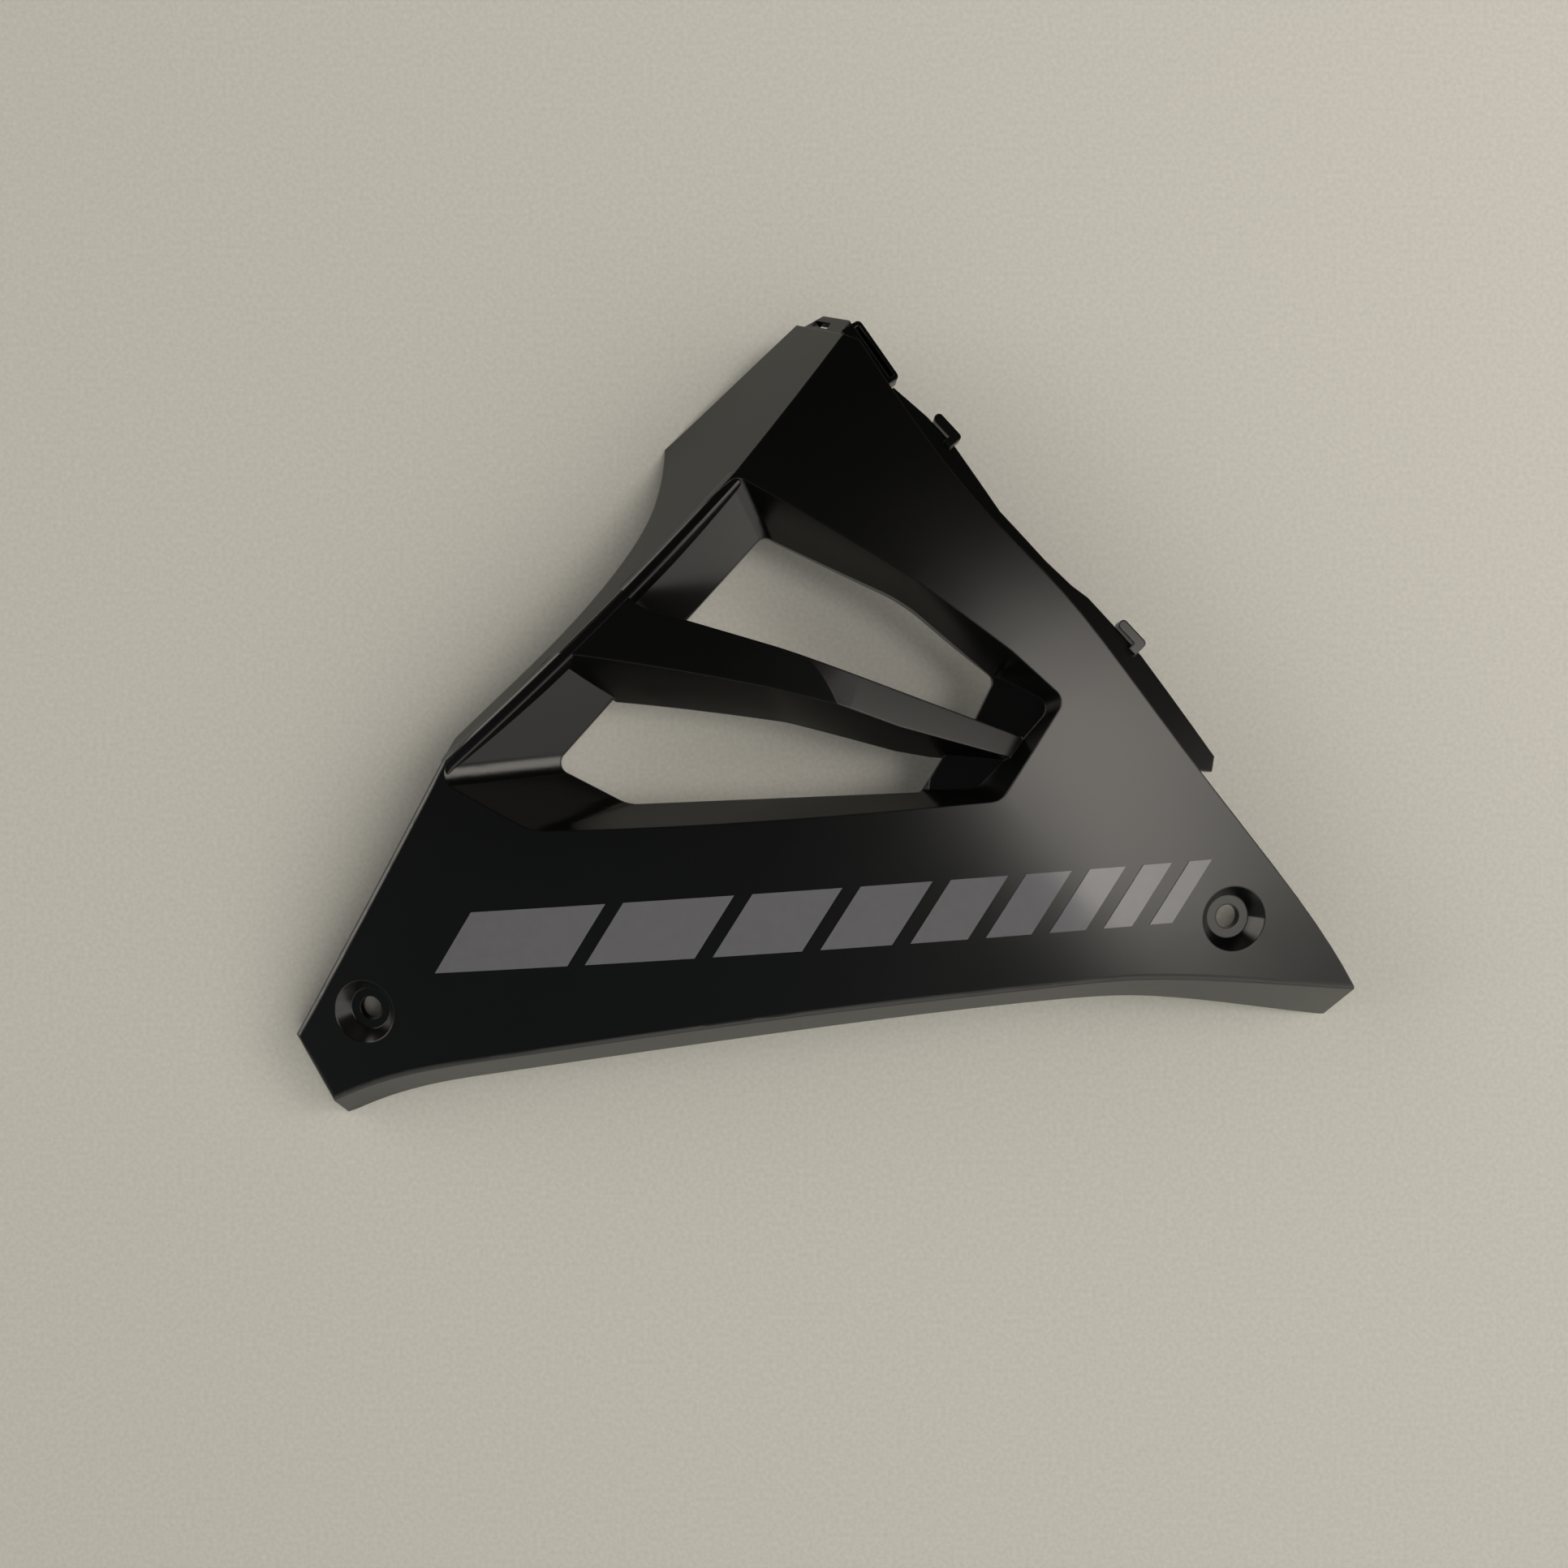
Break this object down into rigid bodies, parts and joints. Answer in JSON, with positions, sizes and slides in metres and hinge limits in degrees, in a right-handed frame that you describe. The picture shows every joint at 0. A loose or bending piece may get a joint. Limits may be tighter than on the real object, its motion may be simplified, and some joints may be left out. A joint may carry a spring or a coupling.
{
  "type": "lower fairing panel",
  "caption": "Three-cornered motorcycle lower fairing panel: thin crowned shell with turned-down edges, louvred vents, dished screw seats and an edge flange with clip hooks.",
  "frame": {"origin": "middle of the footprint, on the surface that the panel lies on", "axes": "+X along the long lower edge towards the pointed end, +Y towards the slotted tab, +Z out of the face"},
  "size_m": [0.3684, 0.279, 0.0419],
  "materials": {
    "panel": "black moulded ABS, satin face with a fine grain",
    "film": "grey cut vinyl film, gloss"
  },
  "bodies": {
    "root": {"fairing_panel": "panel", "graphic_film": "film"}
  },
  "joints": []
}
